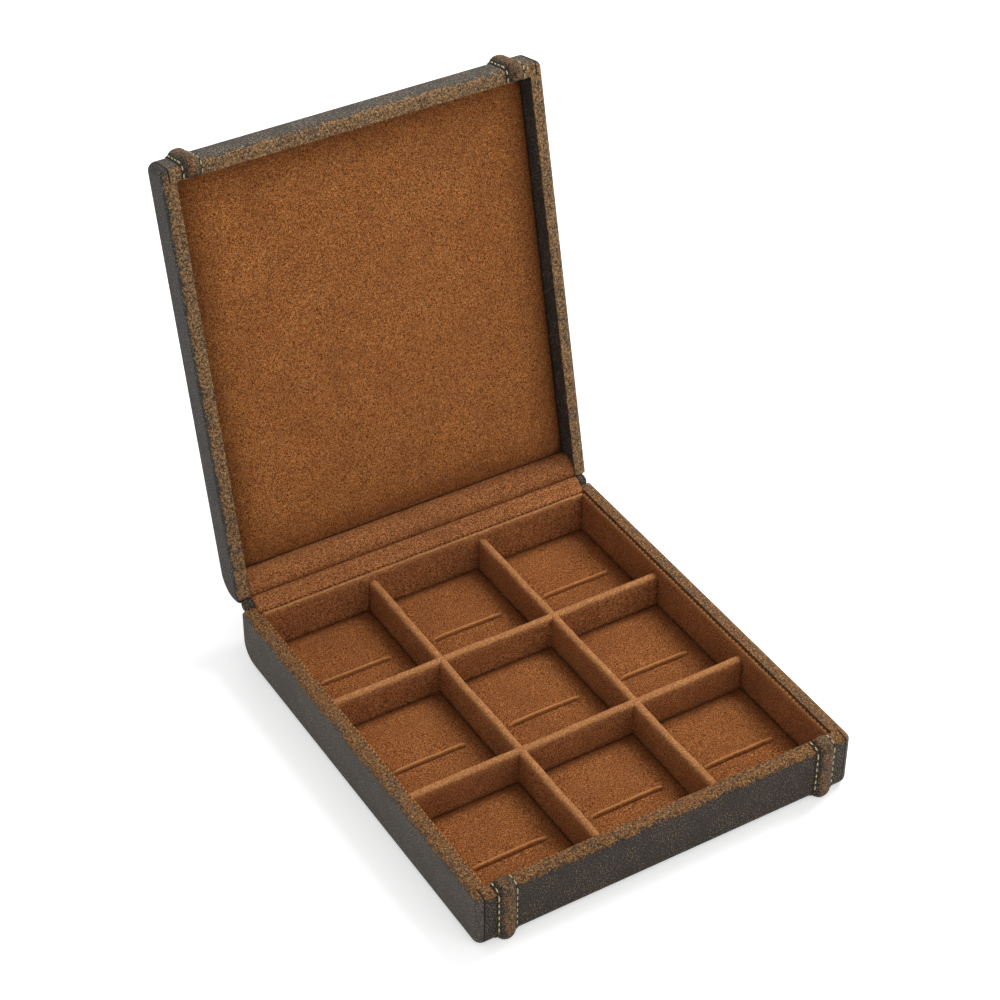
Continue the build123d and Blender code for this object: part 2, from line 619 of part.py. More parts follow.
# --------------------------------------------------------------------------- hinge
with BuildPart() as base_leaf:
    block((-HINGE_W / 2, HINGE_W / 2), (BOARD_Y - LEAF, BOARD_Y),
          (BASE_H - BASE_LEAF_H, BASE_H - LEAF_SHOULDER))
    for index in range(0, KNUCKLES, 2):
        start, end = knuckle_span(index)
        block((start, end), (BOARD_Y - LEAF, BOARD_Y), (BASE_H - LEAF_SHOULDER, BASE_H))
        axis_rod(KNUCKLE_R, (end - start) / 2, middle=(start + end) / 2)
    axis_rod(PIN_R, FAR, mode=Mode.SUBTRACT)
    base_screw_holes(SCREW_HEAD_R, LEAF)
finish(base_leaf, "hinge_base_leaf")

with BuildPart() as lid_leaf:
    block((-HINGE_W / 2, HINGE_W / 2), (LEAF_OUT - LEAF, LEAF_OUT), (LID_RELIEF_R, LID_LEAF_H),
          frame=LID)
    for index in range(1, KNUCKLES, 2):
        start, end = knuckle_span(index)
        block((start, end), (LEAF_OUT - LEAF, LEAF_OUT), (LID_LEAF_START, LID_RELIEF_R), frame=LID)
        axis_rod(KNUCKLE_R, (end - start) / 2, middle=(start + end) / 2)
    axis_rod(PIN_R + PIN_PLAY, FAR, mode=Mode.SUBTRACT)
    lid_screw_holes(SCREW_HEAD_R, LEAF)
finish(lid_leaf, "hinge_lid_leaf")

with BuildPart() as pin:
    axis_rod(PIN_R, HINGE_W / 2)
finish(pin, "hinge_pin")

with BuildPart() as base_screws:
    base_screw_holes(SCREW_HEAD_R, LEAF, mode=Mode.ADD)
    base_screw_holes(SCREW_SHANK_R, SCREW_L, mode=Mode.ADD)
finish(base_screws, "hinge_base_screws")

with BuildPart() as lid_screws:
    lid_screw_holes(SCREW_HEAD_R, LEAF, mode=Mode.ADD)
    lid_screw_holes(SCREW_SHANK_R, SCREW_L, mode=Mode.ADD)
finish(lid_screws, "hinge_lid_screws")

BEAD_IN = KNUCKLE_R + ROLL_PLAY
TRAY_SEAM = (IN_Y, TRAY_TOP - LINING_DROP)
ON_THE_WAY = (IN_Y + LINING_EASE[0], BASE_RIM - LINING_EASE[1])
ON_THE_ROLL = (HINGE_Y - BEAD_R + ROLL_LAP, BASE_RIM)
with BuildPart() as base_lining:
    with BuildSketch(side_plane(BASE, -IN_X)):
        with BuildLine():
            Polyline((BOARD_Y - LEAF, BASE_H), (BOARD_Y - LEAF, BACK_BOARD_TOP), (IN_Y, BACK_BOARD_TOP),
                     TRAY_SEAM)
            Spline(TRAY_SEAM, ON_THE_WAY, ON_THE_ROLL)
            Polyline(ON_THE_ROLL, (BOARD_Y - LEAF, BASE_H))
        make_face()
    extrude(amount=2 * IN_X)
    sector(-IN_X, IN_X, SUEDE_ANGLE, SUEDE_TO, BEAD_IN, BEAD_R)
    cut_windows()
finish(base_lining, "base_hinge_lining")

with BuildPart() as spine:
    sector(-IN_X, IN_X, SPINE_FROM, SUEDE_ANGLE, BEAD_IN, BEAD_R)
    block((-IN_X, IN_X), (BOARD_Y, HINGE_Y), (TAIL_Z, BASE_H - BEAD_IN))
    cut_windows()
    for x0, x1 in ((-IN_X - BEAD_END, -IN_X), (IN_X, IN_X + BEAD_END)):
        axis_rod(BEAD_R, (x1 - x0) / 2, middle=(x0 + x1) / 2)
    for x0, x1 in ((-SEAM_X, -IN_X), (IN_X, SEAM_X)):
        block((x0, x1), (BOARD_Y, HINGE_Y), (TAIL_Z, BASE_H))
finish(spine, "hinge_spine_leather")
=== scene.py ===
"""The looks of the leather cufflink case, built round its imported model.

Lengths in the functions are millimetres and become metres when a mesh is made. The case stands on
z = 0 with its front towards -Y. The open lid has its own coordinates: x across, u from the hinge up
the lid, v from the rim plane out to the leather.
"""
import json
from math import ceil, cos, exp, hypot, pi, radians, sin, sqrt, tan

import bmesh
import bpy
from mathutils import Matrix, Vector, noise


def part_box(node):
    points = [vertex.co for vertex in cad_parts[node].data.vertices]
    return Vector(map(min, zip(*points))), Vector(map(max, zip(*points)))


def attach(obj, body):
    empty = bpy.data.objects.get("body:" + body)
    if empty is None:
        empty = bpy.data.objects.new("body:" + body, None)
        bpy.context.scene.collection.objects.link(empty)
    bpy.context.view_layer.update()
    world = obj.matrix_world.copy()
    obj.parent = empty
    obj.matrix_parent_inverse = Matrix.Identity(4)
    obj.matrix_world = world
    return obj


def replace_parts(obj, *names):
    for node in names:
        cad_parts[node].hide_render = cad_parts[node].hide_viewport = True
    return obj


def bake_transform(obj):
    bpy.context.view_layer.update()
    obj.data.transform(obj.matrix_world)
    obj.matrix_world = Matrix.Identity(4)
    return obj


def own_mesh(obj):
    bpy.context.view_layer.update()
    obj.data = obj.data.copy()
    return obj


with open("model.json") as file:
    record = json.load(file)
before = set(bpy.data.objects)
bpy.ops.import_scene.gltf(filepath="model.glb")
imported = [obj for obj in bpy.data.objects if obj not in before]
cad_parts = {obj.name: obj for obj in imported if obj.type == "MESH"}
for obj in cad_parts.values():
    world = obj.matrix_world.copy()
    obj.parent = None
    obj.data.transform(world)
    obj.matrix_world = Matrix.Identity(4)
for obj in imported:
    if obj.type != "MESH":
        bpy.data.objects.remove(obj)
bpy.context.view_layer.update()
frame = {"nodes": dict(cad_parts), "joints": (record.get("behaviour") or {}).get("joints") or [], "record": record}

MM = 0.001

# ------------------------------------------------------------------ sizes shared with the solids
HINGE = Vector(frame["joints"][0]["pos_m"]) / MM
OPEN_ANGLE = radians(103)
LID_U = Vector((0, -cos(OPEN_ANGLE), sin(OPEN_ANGLE)))
LID_V = Vector((0, sin(OPEN_ANGLE), cos(OPEN_ANGLE)))
CASE_D = 168.0
LID_H = 14.0
RIM_GAP = 0.15              # each rim stops this short of the plane where base and lid meet
BASE_RIM = HINGE.z - RIM_GAP
RIM_R = 2.0                 # rounding of the rims' outer edges
FRONT_R = 3.5               # rounding of the front's edges away from the rims
LID_BACK_R = 10.0
FLOOR_CLEAR = 0.02


def base_point(x, y, z):
    """A point of the base, pressed flat where it would reach below the floor."""
    return Vector((x, y, max(z, FLOOR_CLEAR)))


def lid_point(x, u, v):
    """A point of the open lid."""
    return Vector((x, HINGE.y, HINGE.z)) + u * LID_U + v * LID_V


def node_box(node):
    """Lowest and highest corner of a solid, in millimetres."""
    low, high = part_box(node)
    return low / MM, high / MM


# ------------------------------------------------------------------ material helpers
NOISE_ROUGHNESS = 0.6


def linear(code):
    """An sRGB hex colour as linear RGBA."""
    channels = [int(code[i:i + 2], 16) / 255 for i in (1, 3, 5)]
    return tuple(c / 12.92 if c <= 0.04045 else ((c + 0.055) / 1.055) ** 2.4 for c in channels) + (1.0,)


def add_node(tree, kind, settings=None, inputs=None):
    """Adds a node; an input that is a socket is linked, and a value or a hex colour is set."""
    node = tree.nodes.new(kind)
    for key, value in (settings or {}).items():
        setattr(node, key, value)
    for key, value in (inputs or {}).items():
        if isinstance(value, bpy.types.NodeSocket):
            tree.links.new(value, node.inputs[key])
        else:
            node.inputs[key].default_value = linear(value) if isinstance(value, str) else value
    return node


def new_material(name, finish):
    """A material whose shader has these values, and the piece's own coordinates."""
    material = bpy.data.materials.new(name)
    material.use_nodes = True
    tree = material.node_tree
    shader = tree.nodes["Principled BSDF"]
    for socket, value in finish.items():
        shader.inputs[socket].default_value = linear(value) if isinstance(value, str) else value
    place = add_node(tree, "ShaderNodeTexCoord").outputs["Object"]
    return material, tree, shader, place


def speckle(tree, place, size_mm, low, high, detail=2.0, offset=0.0):
    """Noise with features of this size, stretched between two thresholds to 0..1.

    Patterns of one material have different offsets, so that they don't fall together.
    """
    shifted = add_node(tree, "ShaderNodeMapping", inputs={"Vector": place, "Location": (offset, 0, 0)})
    pattern = add_node(tree, "ShaderNodeTexNoise", inputs={
        "Vector": shifted.outputs[0], "Scale": 1 / (size_mm * MM), "Detail": detail,
        "Roughness": NOISE_ROUGHNESS})
    return add_node(tree, "ShaderNodeMapRange", inputs={
        "Value": pattern.outputs["Fac"], "From Min": low, "From Max": high}).outputs["Result"]


def added_up(tree, parts, start=0.0):
    """The sum of some patterns, each times its own weight, kept between 0 and 1."""
    total = start
    for pattern, weight in parts:
        total = add_node(tree, "ShaderNodeMath", {"operation": "MULTIPLY_ADD", "use_clamp": True},
                         {0: pattern, 1: weight, 2: total}).outputs[0]
    return total


def coats(tree, ground, layers):
    """Colours laid one over another, each as (where it shows, how strongly, colour)."""
    colour = ground
    for pattern, strength, coat in layers:
        share = add_node(tree, "ShaderNodeMath", {"operation": "MULTIPLY", "use_clamp": True},
                         {0: pattern, 1: strength}).outputs[0]
        mixed = add_node(tree, "ShaderNodeMix", {"data_type": "RGBA"}, {0: share, 6: colour, 7: coat})
        colour = mixed.outputs[2]
    return colour


def surface(tree, shader, colour, relief):
    """Gives the shader its colour, and its bumps as layers of (pattern, depth in millimetres)."""
    tree.links.new(colour, shader.inputs["Base Color"])
    normal = None
    for height, depth in relief:
        inputs = {"Height": height, "Distance": depth * MM, "Strength": 1.0}
        if normal:
            inputs["Normal"] = normal
        normal = add_node(tree, "ShaderNodeBump", inputs=inputs).outputs[0]
    tree.links.new(normal, shader.inputs["Normal"])


# ------------------------------------------------------------------ materials
# painted shadow line at the very edge of the pads and in the slits
PAINTED_SHADOW_LINE = "#24120a"
SHEEN_TINT = "#d8a070"
SEAM_X = 72.3               # where the front leathers are turned in against the side pieces
SEAM_SHADE = 0.35
SEAM_DARK = "#120e0b"
WEAR_START = -0.2           # depth from the rim plane at which the wear starts to fade
FLECKS_EVERYWHERE = 0.35    # share of the dust that lies outside its patches


def suede(name, deep, lit, stroked, tips):
    """Split suede: a short nap that scatters light, in grains of half a millimetre.

    It is painted paler as a painted highlight on the tops of the boards and on the slits' lips, and painted darker
    as painted shade near the pads' edges and along the slits, with a darkest painted shadow line at the very edge.
    """
    material, tree, shader, place = new_material(name, {
        "Roughness": 0.95, "Specular IOR Level": 0.1, "Sheen Weight": 0.12, "Sheen Roughness": 0.6,
        "Sheen Tint": SHEEN_TINT})
    nap = speckle(tree, place, 0.44, 0.42, 0.58)
    tufts = speckle(tree, place, 1.3, 0.36, 0.64, detail=1.0, offset=0.5)
    strokes = speckle(tree, place, 16.0, 0.35, 0.68, offset=0.3)
    flecks = speckle(tree, place, 0.5, 0.56, 0.66, detail=1.0, offset=0.7)
    # Painted highlight and painted shade, read from numbers kept on each piece.
    painted_highlight, painted_shade = (add_node(tree, "ShaderNodeAttribute", {"attribute_name": kept}).outputs["Fac"]
                       for kept in ("painted_highlight", "painted_shade"))
    # crease: a painted shadow line where the painted shade is deepest.
    crease = add_node(tree, "ShaderNodeMapRange", inputs={
        "Value": painted_shade, "From Min": 0.86, "From Max": 0.98, "To Max": 0.8}).outputs["Result"]
    grain = added_up(tree, ((nap, 0.85), (tufts, 0.15)))
    painted_highlight_colour = coats(tree, lit, ((grain, 1.0, tips),))
    # The painted highlight mixes towards a paler colour, and the painted shade towards the deep one.
    colour = coats(tree, deep, (
        (grain, 1.0, lit), (strokes, 0.35, stroked), (flecks, 0.55, tips), (painted_highlight, 0.55, painted_highlight_colour),
        (painted_shade, 0.65, deep), (crease, 1.0, PAINTED_SHADOW_LINE)))
    surface(tree, shader, colour, ((nap, 0.3), (tufts, 0.12)))
    return material


def distressed_leather(name, waxed, tan, rim=None, reach=0.0, seamed=False):
    """Oiled leather, waxed dark and rubbed back to tan where hands meet it: the rims and edges.

    The tan reaches this far from the rim, which is given as a point on its plane and the direction
    away from it. Without a rim it follows the number "rubbed" on the piece. A seamed piece is dark
    along its two ends, where it is turned in against the side pieces.
    """
    dark, dull, dust = waxed
    tan_deep, tan_lit, tan_dust = tan
    material, tree, shader, place = new_material(name, {"Specular IOR Level": 0.25})
    grain = speckle(tree, place, 0.7, 0.38, 0.62, detail=3.0)
    specks = speckle(tree, place, 0.5, 0.57, 0.66, detail=1.0, offset=0.4)
    pits = speckle(tree, place, 0.9, 0.52, 0.62, offset=1.7)
    patches = speckle(tree, place, 9.0, 0.36, 0.66, detail=3.0, offset=0.9)
    ragged = speckle(tree, place, 1.2, 0.3, 0.7, detail=3.0, offset=1.3)
    bites = speckle(tree, place, 6.0, 0.36, 0.64, detail=1.0, offset=2.1)
    if rim:
        rim_point, away = rim
        from_rim = add_node(tree, "ShaderNodeVectorMath", {"operation": "SUBTRACT"},
                            {0: place, 1: rim_point})
        depth = add_node(tree, "ShaderNodeVectorMath", {"operation": "DOT_PRODUCT"},
                         {0: from_rim.outputs[0], 1: away})
        wear = add_node(tree, "ShaderNodeMapRange", {"interpolation_type": "SMOOTHSTEP"}, {
            "Value": depth.outputs["Value"], "From Min": WEAR_START * MM, "From Max": reach * MM,
            "To Min": 1.0, "To Max": 0.0}).outputs["Result"]
    else:
        wear = add_node(tree, "ShaderNodeAttribute", {"attribute_name": "rubbed"}).outputs["Fac"]
    bared = add_node(tree, "ShaderNodeMapRange", inputs={
        "Value": added_up(tree, ((ragged, 0.34), (bites, 0.2), (wear, 0.56))),
        "From Min": 0.58, "From Max": 0.76}).outputs["Result"]
    dusty = added_up(tree, ((patches, 1.0),), start=FLECKS_EVERYWHERE)
    bare = coats(tree, tan_deep, ((grain, 1.0, tan_lit), (specks, 0.7, tan_dust), (pits, 0.75, dark)))
    colour = coats(tree, dark, ((grain, 1.0, dull), (specks, dusty, dust), (bared, 1.0, bare)))
    if seamed:
        across = add_node(tree, "ShaderNodeSeparateXYZ", inputs={0: place}).outputs["X"]
        off_middle = add_node(tree, "ShaderNodeMath", {"operation": "ABSOLUTE"}, {0: across}).outputs[0]
        turned_in = add_node(tree, "ShaderNodeMath", {"operation": "COMPARE"},
                             {0: off_middle, 1: SEAM_X * MM, 2: SEAM_SHADE * MM}).outputs[0]
        colour = coats(tree, colour, ((turned_in, 1.0, SEAM_DARK),))
    surface(tree, shader, colour, ((grain, 0.25), (specks, 0.12), (pits, 0.1)))
    polish = add_node(tree, "ShaderNodeMapRange", inputs={
        "Value": grain, "To Min": 0.55, "To Max": 0.75}).outputs["Result"]
    tree.links.new(polish, shader.inputs["Roughness"])
    return material


def waxed_thread(name, low, high):
    """Twisted and waxed sewing thread, a little shiny and dirty in the twist."""
    material, tree, shader, place = new_material(name, {"Roughness": 0.6, "Specular IOR Level": 0.2})
    twist = speckle(tree, place, 0.35, 0.35, 0.65)
    surface(tree, shader, coats(tree, low, ((twist, 1.0, high),)), ((twist, 0.08),))
    return material


def bookboard(name, low, high):
    """Pressed grey board: flecks of paper fibre, quite matt."""
    material, tree, shader, place = new_material(name, {"Roughness": 0.9})
    fibre = speckle(tree, place, 0.8, 0.35, 0.65, detail=4.0)
    surface(tree, shader, coats(tree, low, ((fibre, 1.0, high),)), ((fibre, 0.05),))
    return material


def strip_steel(name, low, high):
    """Rolled steel strip, plain, with the fine lines of rolling."""
    material, tree, shader, place = new_material(name, {"Metallic": 1.0, "Roughness": 0.35})
    stretched = add_node(tree, "ShaderNodeMapping", inputs={"Vector": place, "Scale": (0.05, 1, 1)})
    lines = speckle(tree, stretched.outputs[0], 0.5, 0.35, 0.65)
    surface(tree, shader, coats(tree, low, ((lines, 1.0, high),)), ((lines, 0.01),))
    return material


SUEDE_FLAT = suede("brushed_suede_walls", deep="#5c2e14", lit="#d98b53", stroked="#824829", tips="#deaa70")
SUEDE_PAD = suede("brushed_suede_pads", deep="#542810", lit="#d38348", stroked="#7b4020", tips="#d99e62")
SUEDE_LID = suede("brushed_suede_lid", deep="#5b2c11", lit="#dd8c4b", stroked="#834521", tips="#e3a868")

BASE_EDGE = ((0, 0, BASE_RIM * MM), (0, 0, -1))
LID_EDGE = (tuple(lid_point(0, 0, RIM_GAP) * MM), tuple(LID_V))
BROWN_TAN = ("#3d2614", "#a87039", "#d0a468")
WELT_TAN = ("#38261a", "#94693f", "#c3a06e")
PALE_TAN = ("#48331f", "#b58857", "#dcb985")
BASE_LEATHER = distressed_leather(
    "distressed_leather_base", ("#34302b", "#5e564d", "#9a8f7f"), BROWN_TAN, BASE_EDGE, 3.6)
# Painted shade: the base's front piece is its leather painted darker, for the shade on the front face.
FRONT_LEATHER_PAINTED_SHADE = distressed_leather(
    "distressed_leather_front_painted_shade", ("#1e1a16", "#382f28", "#a08c6c"), BROWN_TAN, BASE_EDGE, 3.2, seamed=True)
LID_LEATHER = distressed_leather(
    "distressed_leather_lid", ("#272421", "#463f39", "#91887b"), PALE_TAN, LID_EDGE, 1.7)
LID_FRONT_LEATHER = distressed_leather(
    "distressed_leather_lid_front", ("#2b2622", "#544a3f", "#b8a88c"), PALE_TAN, LID_EDGE, 3.4, seamed=True)
WELT_LEATHER = distressed_leather(
    "distressed_leather_welts", ("#221e1a", "#3f372e", "#8f8168"), WELT_TAN)

THREAD = waxed_thread("waxed_cream_thread", "#a89768", "#e6dbb0")
SEAM_THREAD = waxed_thread("waxed_brown_thread", "#472611", "#704422")
BOARD = bookboard("grey_bookboard", "#6d675c", "#8a8376")
CARD = bookboard("thin_card", "#8f8775", "#a89f8b")
STEEL = strip_steel("rolled_strip_steel", "#8d8e90", "#a9aaac")

SLOT_MATERIALS = {
    "leather": BASE_LEATHER,
    "strap_leather": BASE_LEATHER,
    "thread": THREAD,
    "suede": SUEDE_FLAT,
    "suede_pad": SUEDE_PAD,
    "board": BOARD,
    "card": CARD,
    "steel": STEEL,
}
FRONT_PIECES = {"base_front_leather": FRONT_LEATHER_PAINTED_SHADE, "lid_front_leather": LID_FRONT_LEATHER}


def dress_solids():
    """Gives every carried-over solid the finish of its slot."""
    for subpart in frame["record"]["subparts"]:
        node, slot = subpart["node"], subpart["material_slot"]
        material = SLOT_MATERIALS[slot]
        if slot == "leather" and node.startswith("lid"):
            material = LID_LEATHER
        material = FRONT_PIECES.get(node, material)
        solid = frame["nodes"][node]
        solid.data.materials.clear()
        solid.data.materials.append(material)


# ------------------------------------------------------------------ mesh helpers
def make_piece(name, points, faces, material):
    """A smooth mesh object from points in millimetres, with its faces turned outwards."""
    mesh = bpy.data.meshes.new(name)
    mesh.from_pydata([p * MM for p in points], [], faces)
    shape = bmesh.new()
    shape.from_mesh(mesh)
    bmesh.ops.recalc_face_normals(shape, faces=shape.faces)
    shape.to_mesh(mesh)
    shape.free()
    for face in mesh.polygons:
        face.use_smooth = True
    mesh.materials.append(material)
    piece = bpy.data.objects.new(name, mesh)
    bpy.context.scene.collection.objects.link(piece)
    return piece


def store(piece, name, values):
    """Keeps one number on each point of a piece, for its material to read."""
    kept = piece.data.attributes.new(name, "FLOAT", "POINT")
    kept.data.foreach_set("value", values)


def steps(start, end, size):
    """Evenly spaced values from start to end, about size apart."""
    count = max(1, ceil(abs(end - start) / size))
    return [start + (end - start) * i / count for i in range(count + 1)]


def graded_steps(places, sizes):
    """Values from the first place to the last, with a spacing of its own for each stretch."""
    values = [places[0]]
    for start, end, size in zip(places, places[1:], sizes):
        values += steps(start, end, size)[1:]
    return values


def ramp(value, start, end):
    """0 up to start, rising evenly to 1 at end."""
    return min(1.0, max(0.0, (value - start) / (end - start)))


def bell(distance, width, power=2):
    """1 at the middle, falling to a third at this distance, more sharply the higher the power."""
    return exp(-(distance / width) ** power)


def soft_profile(distance, reach):
    """0 at an edge, rounding over to 1 at this reach from it."""
    return sqrt(1 - (1 - ramp(distance, 0, reach)) ** 2)


def ripple(point, size, amount, seed=0.0):
    """Smooth unevenness: the same every time for the same place and seed."""
    return amount * noise.noise(Vector((point[0] / size, point[1] / size, point[2] / size + seed)))


def tube(name, rings, material):
    """A closed tube through rings of equal length, with both ends filled."""
    size = len(rings[0])
    points = [p for ring in rings for p in ring]
    faces = []
    for r in range(len(rings) - 1):
        for i in range(size):
            j = (i + 1) % size
            faces.append((r * size + i, r * size + j, (r + 1) * size + j, (r + 1) * size + i))
    faces.append(tuple(range(size))[::-1])
    faces.append(tuple(range((len(rings) - 1) * size, len(rings) * size)))
    return make_piece(name, points, faces, material)


def rounded_path(corners, radii, step):
    """Points and outward normals along straight runs joined by arcs, in a plane."""
    corners = [Vector(c) for c in corners]
    bends = [corners[0]]
    for before, corner, after, radius in zip(corners, corners[1:], corners[2:], radii):
        back, ahead = (before - corner).normalized(), (after - corner).normalized()
        half = back.angle(ahead) / 2
        centre = corner + (back + ahead).normalized() * radius / sin(half)
        first = (corner + back * radius / tan(half) - centre).normalized()
        last = (corner + ahead * radius / tan(half) - centre).normalized()
        count = max(4, ceil(radius * (pi - 2 * half) / step))
        bends += [centre + first.slerp(last, i / count) * radius for i in range(count + 1)]
    bends.append(corners[-1])
    path = []
    for a, b in zip(bends, bends[1:]):
        for t in steps(0, 1, step / max((b - a).length, step))[:-1]:
            path.append(a.lerp(b, t))
    path.append(bends[-1])
    normals = []
    for i, point in enumerate(path):
        along = (path[min(i + 1, len(path) - 1)] - path[max(i - 1, 0)]).normalized()
        normals.append(Vector((along.y, -along.x)))
    return path, normals


def smooth_line(points, per_run):
    """A smooth line through points, as a Catmull-Rom curve."""
    line = []
    ends = [points[0] * 2 - points[1]] + points + [points[-1] * 2 - points[-2]]
    for a, b, c, d in zip(ends, ends[1:], ends[2:], ends[3:]):
        for i in range(per_run):
            t = i / per_run
            line.append(0.5 * (2 * b + (c - a) * t + (2 * a - 5 * b + 4 * c - d) * t * t
                               + (3 * b - a - 3 * c + d) * t * t * t))
    line.append(points[-1])
    return line


# ------------------------------------------------------------------ padded pieces
PAD_SWELL = 2.3             # the higher, the nearer to its edge a pad is full


def pillow(distance, reach):
    """0 at a sewn edge, swelling to 1 at this reach from it."""
    return 1 - (1 - ramp(distance, 0, reach)) ** PAD_SWELL


def padded_panel(name, half_x, half_y, corner, lines_x, lines_y, height, nap, place, material):
    """A stuffed panel on a flat bed: a fine grid on top, drawn round at the corners.

    height(x, y) is its top, and nap(x, y) the painted highlight and painted shade of its suede there.
    """
    def drawn_in(x, y):
        """Maps the square corners of the grid to round ones."""
        dx, dy = abs(x) - (half_x - corner), abs(y) - (half_y - corner)
        if dx <= 0 or dy <= 0:
            return x, y
        shrink = max(dx, dy) / hypot(dx, dy)
        return ((half_x - corner + dx * shrink) * (1 if x > 0 else -1),
                (half_y - corner + dy * shrink) * (1 if y > 0 else -1))

    columns, rows = len(lines_x), len(lines_y)
    spots = [drawn_in(x, y) for y in lines_y for x in lines_x]
    points = [place(x, y, height(x, y)) for x, y in spots]
    painted_lights = [nap(x, y) for x, y in spots]
    faces = []
    for j in range(rows - 1):
        for i in range(columns - 1):
            a = j * columns + i
            faces.append((a, a + 1, a + columns + 1, a + columns))
    edge = list(range(columns))
    edge += [j * columns + columns - 1 for j in range(1, rows)]
    edge += [(rows - 1) * columns + i for i in range(columns - 2, -1, -1)]
    edge += [j * columns for j in range(rows - 2, 0, -1)]
    bed, size = len(points), len(edge)
    points += [place(*spots[index], 0.0) for index in edge]
    # The bed's points get full painted shade.
    painted_lights += [(0.0, 1.0)] * size
    for k in range(size):
        n = (k + 1) % size
        faces.append((edge[k], edge[n], bed + n, bed + k))
    faces.append(tuple(bed + k for k in range(size)))
    piece = make_piece(name, points, faces, material)
    store(piece, "painted_highlight", [painted_highlight for painted_highlight, _ in painted_lights])
    store(piece, "painted_shade", [painted_shade for _, painted_shade in painted_lights])
    return piece


# ------------------------------------------------------------------ slotted pads
PAD_EDGE = 0.5              # height at the sewn edge
PAD_FALL = 10.5             # how far from its edge a pad is full
PAD_CORNER = 0.8
PAD_SNUG = 0.22             # the suede presses this far past the solid, against the walls
PAD_WAVE = (11.0, 0.28)     # length and height of the foam's unevenness
PAD_PUCKER = (3.5, 0.07)    # length and height of the suede's own
PAD_PAINTED_SHADE_REACH = 7.0              # painted shade this near its edge
# strength of the painted shade at the pad's edge
PAD_PAINTED_SHADE = 0.75
PAD_EDGE_BAND = 4.0
PAD_GRID_X = (0.5, 0.9, 0.5)
PAD_GRID_Y = (0.8, 0.14, 0.8)
PAD_SEED_STEP = 13.7

SLIT_Y = -5.5               # from the middle of the pad
SLIT_HALF = 14.0
SLIT_DEPTH = 1.7
SLIT_BROAD = 0.26
SLIT_TAPER = 1.0
SLIT_FINE = (-1.2, 2.4)     # the grid is finest from here to here, from the slit
SLIT_SAG = 0.2              # the pad dips this far towards the slit
SLIT_SAG_BROAD = 2.6
# painted shade along the slit: its place across the slit and its breadth
SLIT_SHADE_Y = -0.1
SLIT_SHADE_BROAD = 0.3

LIP_R = 0.75
LIP_HALF = SLIT_HALF + 0.8
LIP_BACK = 0.85             # middle of the lip behind the slit
LIP_RISE = 0.4
LIP_TAPER = 4.0
# painted highlight along the lip, and how it fades at its ends
LIP_PAINTED_HIGHLIGHT = 1.8
LIP_PAINTED_HIGHLIGHT_TAPER = 2.0
LIP_OVER_CROWN = 0.6        # the solid's lip stands this far over its crown


def slotted_pad(node, seed):
    """Suede over thin foam, cut by one slit whose rear edge is rolled into a lip."""
    low, high = node_box(node)
    middle = (low + high) / 2
    half_x, half_y = (high.x - low.x) / 2 + PAD_SNUG, (high.y - low.y) / 2 + PAD_SNUG
    crown = high.z - low.z - LIP_OVER_CROWN

    def ends(x, length, taper):
        """1 along the slit, falling to 0 round its ends."""
        return soft_profile(length - abs(x), taper)

    def fullness(x, y, reach):
        return pillow(half_x - abs(x), reach) * pillow(half_y - abs(y), reach)

    def height(x, y):
        full = fullness(x, y, PAD_FALL)
        top = PAD_EDGE + (crown - PAD_EDGE) * full
        top += ripple((x, y, 0), *PAD_WAVE, seed) * full + ripple((x, y, 0), *PAD_PUCKER, seed)
        across = y - SLIT_Y
        cut = ends(x, SLIT_HALF, SLIT_TAPER)
        top -= cut * SLIT_SAG * bell(across, SLIT_SAG_BROAD)
        top -= cut * SLIT_DEPTH * bell(across, SLIT_BROAD, 4)
        lip = LIP_R ** 2 - (across - LIP_BACK) ** 2
        if lip > 0:
            top += (sqrt(lip) + LIP_RISE) * ends(x, LIP_HALF, LIP_TAPER)
        return max(top, PAD_EDGE)

    def nap(x, y):
        # Painted highlight on the lip, and painted shade in the slit and near the pad's edges.
        across = y - SLIT_Y
        length = ends(x, LIP_HALF, LIP_PAINTED_HIGHLIGHT_TAPER)
        painted_highlight = LIP_PAINTED_HIGHLIGHT * length * max(0.0, 1 - ((across - LIP_BACK) / LIP_R) ** 4)
        cut = length * bell(across - SLIT_SHADE_Y, SLIT_SHADE_BROAD, 4)
        return painted_highlight, max(cut, PAD_PAINTED_SHADE * (1 - fullness(x, y, PAD_PAINTED_SHADE_REACH)))

    lines_x = graded_steps((-half_x, PAD_EDGE_BAND - half_x, half_x - PAD_EDGE_BAND, half_x), PAD_GRID_X)
    lines_y = graded_steps((-half_y, SLIT_Y + SLIT_FINE[0], SLIT_Y + SLIT_FINE[1], half_y), PAD_GRID_Y)
    piece = padded_panel(
        node + "_suede", half_x, half_y, PAD_CORNER, lines_x, lines_y, height, nap,
        lambda x, y, h: Vector((middle.x + x, middle.y + y, low.z + h)), SUEDE_PAD)
    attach(piece, "base")
    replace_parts(piece, node)


def slotted_pads():
    """One slotted pad in each cell."""
    seed = 0.0
    for row in ("front", "centre", "back"):
        for column in ("left", "middle", "right"):
            slotted_pad(f"slot_pad_{row}_{column}", seed)
            seed += PAD_SEED_STEP


# ------------------------------------------------------------------ lid pad
LID_CARD_V = 8.5            # the pad's bed, from the rim plane
LID_PAD_HALF = 69.65
LID_PAD_FROM = 10.2         # up the lid, from the hinge
LID_PAD_TO = 162.65
LID_PAD_CORNER = 1.0
LID_PAD_EDGE = 0.6
LID_PAD_CROWN = 2.55        # the solid's crown, less room for the waves
LID_PAD_FALL = 15.0
# painted shade this near the lid pad's edge
LID_PAD_PAINTED_SHADE_REACH = 18.0
LID_PAD_WAVE = (34.0, 0.45, 3.1)    # length, height and seed of the foam's unevenness
LID_PAD_PUCKER = (7.0, 0.08, 5.2)   # and of the suede's own
LID_PAD_GRID = 1.1


